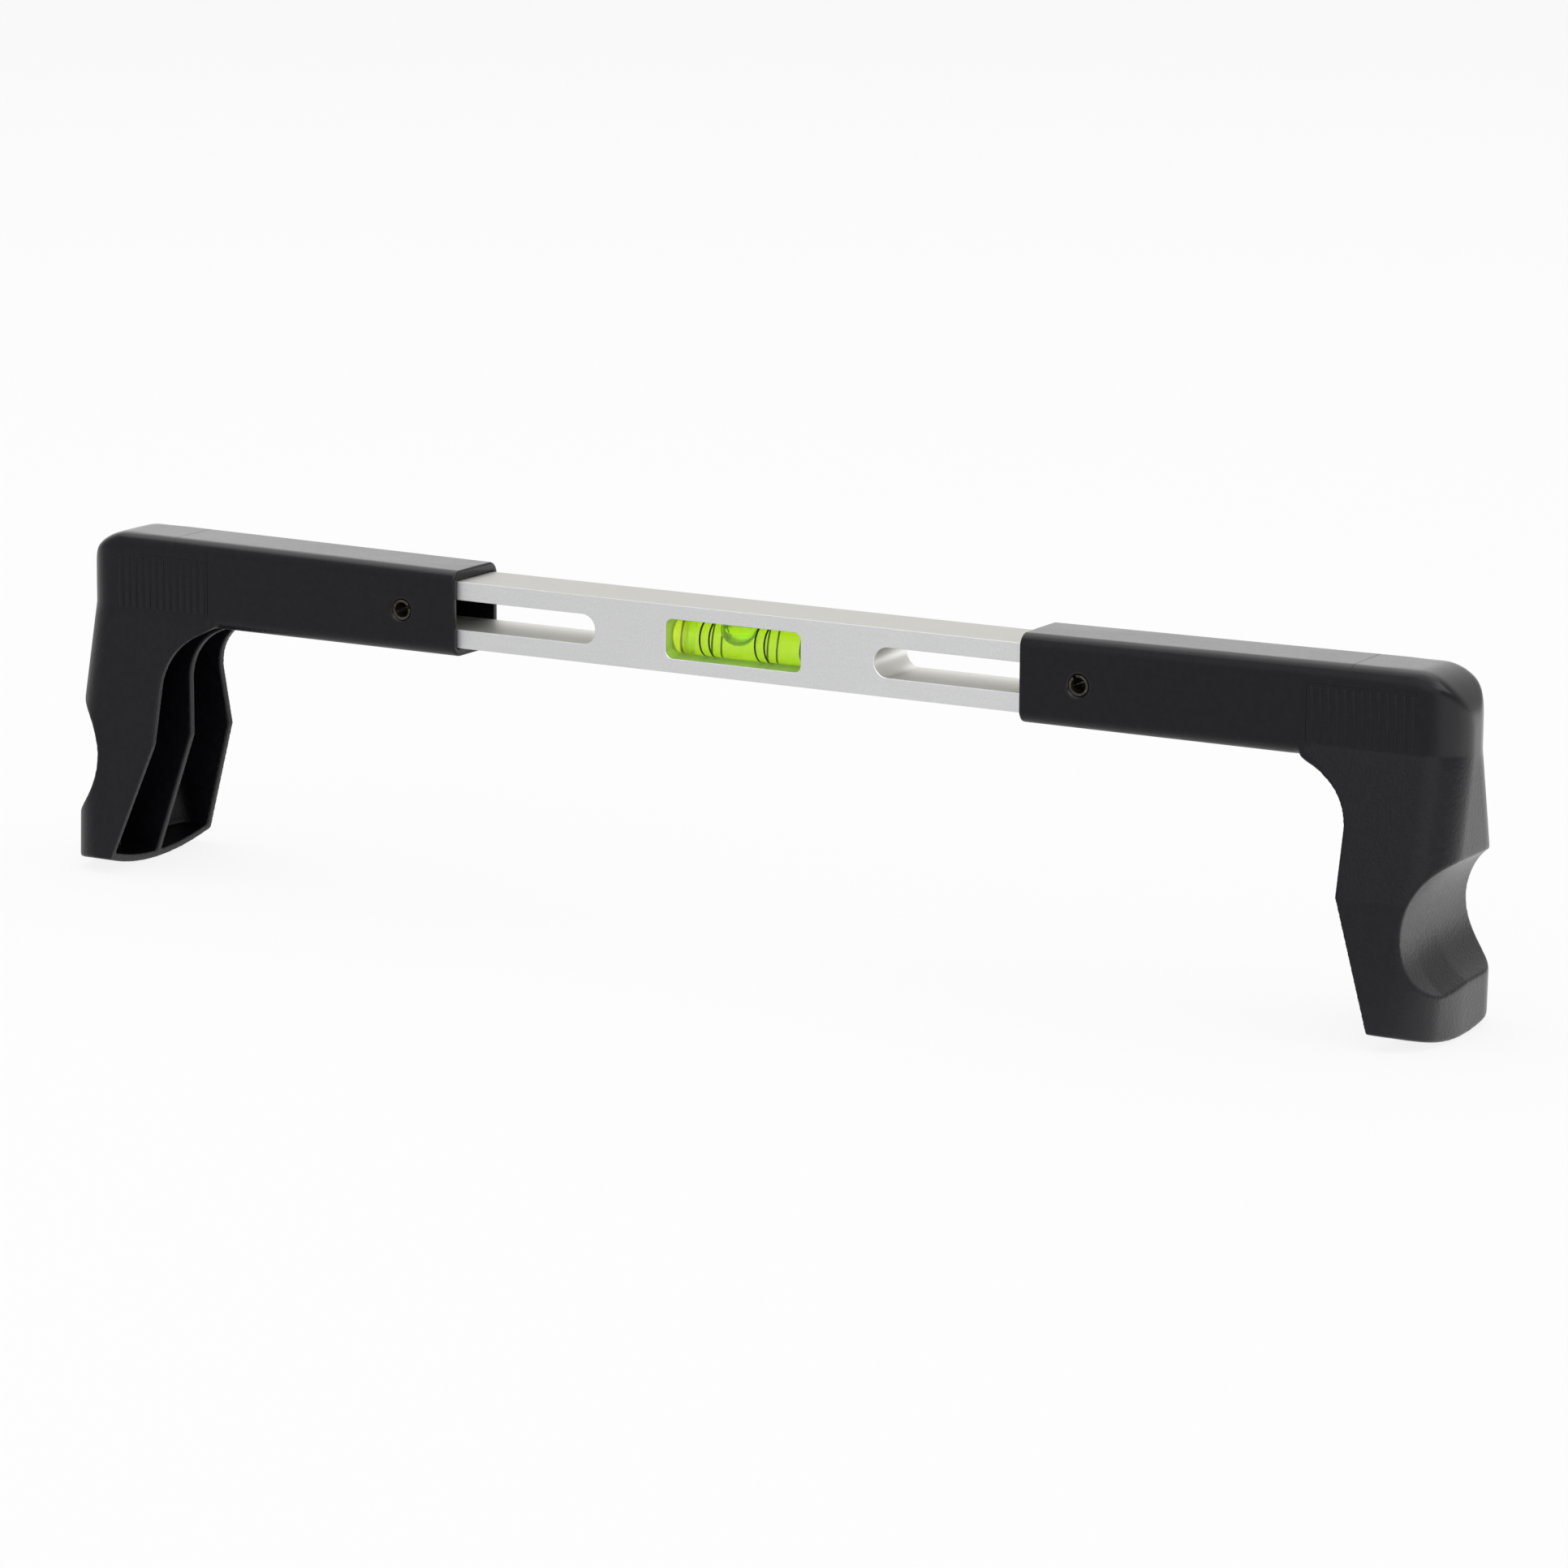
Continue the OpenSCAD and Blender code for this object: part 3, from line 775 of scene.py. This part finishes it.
def side_block():
    """The arm seen from the front, as a thick slab."""
    outline = [(MOUTH_X, SLEEVE_LOW), (LEG_START, SLEEVE_LOW)]
    throat_start = math.degrees(math.acos(THROAT_REACH / THROAT_R))
    outline += arc(THROAT_X, THROAT_Z, THROAT_R, throat_start, 0, 24)
    outline += [(KNEE_X, KNEE_Z), (KNEE_X + LEG_SLOPE * (KNEE_Z - LEG_END), LEG_END),
                (OUTER_X, LEG_END)]
    outline += arc(OUTER_X - CROWN_R, TOP_END - CROWN_R, CROWN_R, 0, 90, 24)
    outline += [(MOUTH_X, TOP_END)]
    return loft("side", [[(x, y, z) for x, z in outline] for y in (-SLAB_HALF, SLAB_HALF)])


def crown_block():
    """The sleeve's top and crown, with a round edge along both faces."""
    flat = SLEEVE_HALF - SLEEVE_ROUND
    rings = []
    for i in range(-9, 10):
        turn = math.radians(10 * i)
        inset = SLEEVE_ROUND * (1 - math.cos(turn))
        y = flat * (i > 0) - flat * (i < 0) + SLEEVE_ROUND * math.sin(turn)
        outline = [(PAST_MOUTH, -40), (OUTER_X - inset, -40)]
        outline += arc(OUTER_X - CROWN_R, TOP_END - CROWN_R, CROWN_R - inset, 0, 90, 24)
        outline += [(MOUTH_X, SLEEVE_TOP - inset), (PAST_MOUTH, 12.8 - inset)]
        rings.append([(x, y, z) for x, z in outline])
    return loft("crown", rings)


def seat_cutter(grow=0.0):
    """The scoop for the wheel rim, or one with a larger radius."""
    angles = [math.radians(degree) for degree in range(0, 360, 2)]
    return loft("seat", [[(cx + (r + grow) * math.cos(a), y, (r + grow) * math.sin(a) - drop)
                          for a in angles] for y, cx, drop, r in SEAT])


def near_lip(x, y, z):
    """How strongly the lips of the scoop and the edge of the sole are rounded, 0 to 1."""
    share = (y + SLAB_HALF) / (2 * SLAB_HALF)
    cx, drop, r = (a + (b - a) * share for a, b in zip(SEAT[0][1:], SEAT[3][1:]))
    seat = abs(math.hypot(x - cx, z + drop) - r) * 0.8
    sole = abs(math.hypot(y, z + BAR_Z - SOLE_R) - SOLE_R)
    lip = max(0, 1 - seat / LIP_REACH) if z > -75 else 0
    foot = max(0, 1 - sole / LIP_REACH) if x > OUTER_X - FOOT_ROUND else 0
    return max(lip, foot)


def ramp(value, low, high):
    """From 0 at one value to 1 at another, evenly."""
    return min(1, max(0, (value - low) / (high - low)))


def near_blend(x, y, z):
    """How strongly the crown, and the corners of the throat, run into the leg, 0 to 1."""
    crown = ramp(x, 204, 210) * ramp(z, -2, 3)
    throat = ramp(x, 177, 180) * ramp(x, 189, 185) * ramp(z, -7.5, -9.5) * ramp(z, -19, -16)
    return max(crown, throat * (abs(y) > 8))


def soften(obj, name, strength, passes):
    """Smooths a mesh as strongly as a function of the place says."""
    group = obj.vertex_groups.new(name=name)
    for vertex in obj.data.vertices:
        x, y, z = vertex.co / MM
        share = strength(x, y, z - BAR_Z)
        if share > 0:
            group.add([vertex.index], share, "REPLACE")
    finish_modifier(obj, "SMOOTH", factor=0.5, iterations=passes, vertex_group=name)


def bore(name, end, half):
    """A square cutter along the sleeve, in through its mouth."""
    return block(name, (BORE_START, -half, -half), (end, half, half))


def carve_arm():
    """The moulding with sharp edges: sleeve, leg, hollow, scoop, bore and pin hole."""
    arm = loft("right_arm_shell", [
        [(x, y, z) for y, z in round_box(-SLEEVE_HALF, SLEEVE_HALF, SLEEVE_LOW, top,
                                         SLEEVE_ROUND)]
        for x, top in ((MOUTH_X, SLEEVE_TOP), (OUTER_X, TOP_END))])
    plan = loft("plan", [level_ring(z, SLEEVE_HALF, LEG_ROUND, OUTER_X, start=PAST_MOUTH)
                         for z in (-30, 30)])
    trim(arm, plan, crown_block())
    join(arm, leg_loft("leg"))
    trim(arm, side_block(), sole_block("sole"))
    below = block("below", (HOLLOW_START, -HOLLOW_HALF, BELOW),
                  (HOLLOW_END, HOLLOW_HALF, SLEEVE_LOW))
    hollow = trim(leg_loft("hollow", WALL), sole_block("sole", WALL), below)
    cut(hollow, seat_cutter(WALL),
        block("rib", (HOLLOW_START, -RIB_HALF, BELOW), (HOLLOW_END, RIB_HALF, 0)))
    cut(arm, hollow, seat_cutter(), bore("bore", BORE_END, SLEEVE_BORE_HALF),
        rod("pin_hole", (PIN_X, 0, 0), "y", HOLE_R, 40, HOLE_SIDES))
    for y in (-RECESS_Y, RECESS_Y):
        cut(arm, rod("recess", (PIN_X, y, 0), "y", RECESS_R, RECESS_DEPTH, HOLE_SIDES))
    return tidy_mesh(arm)


def model_arm():
    """The right arm, with soft edges and a clean bore."""
    arm = carve_arm()
    voxel = FINE_VOXEL
    finish_modifier(arm, "REMESH", mode="VOXEL", voxel_size=voxel * MM)
    finish_modifier(arm, "SMOOTH", factor=0.5, iterations=5)
    soften(arm, "lips", near_lip, 30)
    soften(arm, "blends", near_blend, 110)
    finish_modifier(arm, "DECIMATE", ratio=min(1, MOST_FACES / len(arm.data.polygons)))
    cut(arm, bore("clean_bore", BORE_END + 0.1, CLEAN_BORE_HALF))
    return smooth_evenly(arm, 62)


right_arm = dress(model_arm(), PLASTIC)
left_arm = copy_turned(right_arm, "left_arm_shell")
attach(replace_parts(right_arm, "right_arm"), "right_slider")
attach(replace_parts(left_arm, "left_arm"), "left_slider")


# Grip ribs

GRIP_COUNT = 13
GRIP_END = 213.7
GRIP_PITCH = 2.5
GRIP_HALF = 0.75
GRIP_LOW = -8.4
GRIP_TOP = 7.4
GRIP_BEVEL = 0.2
LINE_BEVEL = 0.09
# Depth of the foot of a rib or line, inside the wall, and the depths of their faces
GRIP_ROOT = 11.9
GRIP_FACE = 12.38
LINE_FACE = 12.36
# The thin lines beside and above the ribs, each from one corner to the other
LINES = (((182.0, -8.4), (182.35, 8.1)), ((182.0, 7.8), (215.0, 8.1)))


def raised(name, low, high, side, face, width, segments):
    """A low bar with bevelled edges on one face of the sleeve."""
    near, far = sorted((side * GRIP_ROOT, side * face))
    return bevel(block(name, (low[0], near, low[1]), (high[0], far, high[1])), width, segments)


def model_grip():
    """Low upright ribs and two thin lines on both faces of the right sleeve."""
    pieces = []
    for i in range(GRIP_COUNT):
        x = GRIP_END - GRIP_PITCH * i
        for side in (-1, 1):
            pieces.append(raised("rib", (x - GRIP_HALF, GRIP_LOW), (x + GRIP_HALF, GRIP_TOP),
                                 side, GRIP_FACE, GRIP_BEVEL, 3))
    for side in (-1, 1):
        for low, high in LINES:
            pieces.append(raised("border", low, high, side, LINE_FACE, LINE_BEVEL, 2))
    return smooth(gather("right_grip", pieces), 40)


right_grip = dress(model_grip(), PLASTIC)
left_grip = copy_turned(right_grip, "left_grip")
for piece, side in ((right_grip, "right"), (left_grip, "left")):
    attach(piece, side + "_slider")


# Camera, placed as in the photograph, in metres and degrees

CAMERA_PLACE = (0.873633, -1.518630, 0.416651)
CAMERA_TURN = 29.531
CAMERA_DIP = 11.9515
CAMERA_ROLL = 0.00667

camera = bpy.data.objects.new("camera", bpy.data.cameras.new("camera"))
scene.collection.objects.link(camera)
camera.data.sensor_width = 36
camera.data.lens = 141.478
camera.data.shift_x = -0.00327
camera.data.shift_y = 0.00082
camera.data.clip_end = 50
camera.matrix_world = (
    Matrix.Translation(CAMERA_PLACE)
    @ Matrix.Rotation(math.radians(CAMERA_TURN), 4, "Z")
    @ Matrix.Rotation(math.radians(90 - CAMERA_DIP), 4, "X")
    @ Matrix.Rotation(CAMERA_ROLL, 4, "Z"))
scene.camera = camera


# Floor, surroundings and lamps

WHITE = (1, 1, 1, 1)


def studio_floor():
    """White paint that glows a little, with brighter and darker parts in mirrored views."""
    finish, place = new_finish("studio_floor")
    x, y, _ = finish.axes(place)
    front = finish.number_mix(finish.step(x, 0.26, 0.50), 0.60, 1.5)
    back = finish.number_mix(finish.step(x, 0.05, 0.35), 0.85, 1.9)
    mirrored = finish.number_mix(finish.step(y, -0.18, 0.04), front, back)
    share = finish.math("MAXIMUM", finish.ray("Glossy"), finish.ray("Transmission"))
    share = finish.number_mix(finish.ray("Camera"), share, 0.86)
    paint = finish.node("BsdfDiffuse", {"Color": (0.86, 0.86, 0.86, 1)})
    glow = finish.node("Emission", {"Color": WHITE,
                                    "Strength": finish.strength_by_ray(1.0, mirrored)})
    mixed = finish.node("MixShader", {0: share, 1: paint, 2: glow})
    finish.node("OutputMaterial", {"Surface": mixed})
    return finish.owner


deselect()
bpy.ops.mesh.primitive_plane_add(size=12, location=(0, 0, -0.0002))
floor = bpy.context.active_object
floor.name = "floor"
dress(floor, studio_floor())


def studio_world():
    """White surroundings, in mirrored views darker in front, with a soft box at the right."""
    finish = Finish(bpy.data.worlds.new("studio"))
    x, y, z = finish.axes(finish.node("TexCoord", output="Generated"))
    front_to_back = finish.step(y, -0.3, 0.6)
    left_to_right = finish.step(x, -0.35, 0.4)
    mirrored = finish.number_mix(front_to_back, 0.55,
                                 finish.number_mix(left_to_right, 1.46, 0.75))
    softbox = (finish.step(x, 0.15, 0.38) * finish.step(z, 0.42, 0.62)
               * (1 - finish.step(y, 0.0, 0.3)))
    strength = finish.strength_by_ray(0.62, mirrored + softbox * 2.2)
    sky = finish.node("Background", {"Color": WHITE, "Strength": strength})
    finish.node("OutputWorld", {"Surface": sky})
    return finish.owner


scene.world = studio_world()


def soft_lamp(name, place, energy, size=3.0, target=(0, 0, 0.05)):
    """A wide area lamp that faces a point."""
    lamp = bpy.data.objects.new(name, bpy.data.lights.new(name, "AREA"))
    scene.collection.objects.link(lamp)
    lamp.data.size = size
    lamp.data.energy = energy
    aim = (Vector(target) - Vector(place)).to_track_quat("-Z", "Y")
    lamp.matrix_world = Matrix.Translation(place) @ aim.to_matrix().to_4x4()


soft_lamp("overhead", (-0.2, 0.2, 2.4), 30)
soft_lamp("front", (0.2, -2.6, 1.6), 17)

bpy.context.view_layer.update()
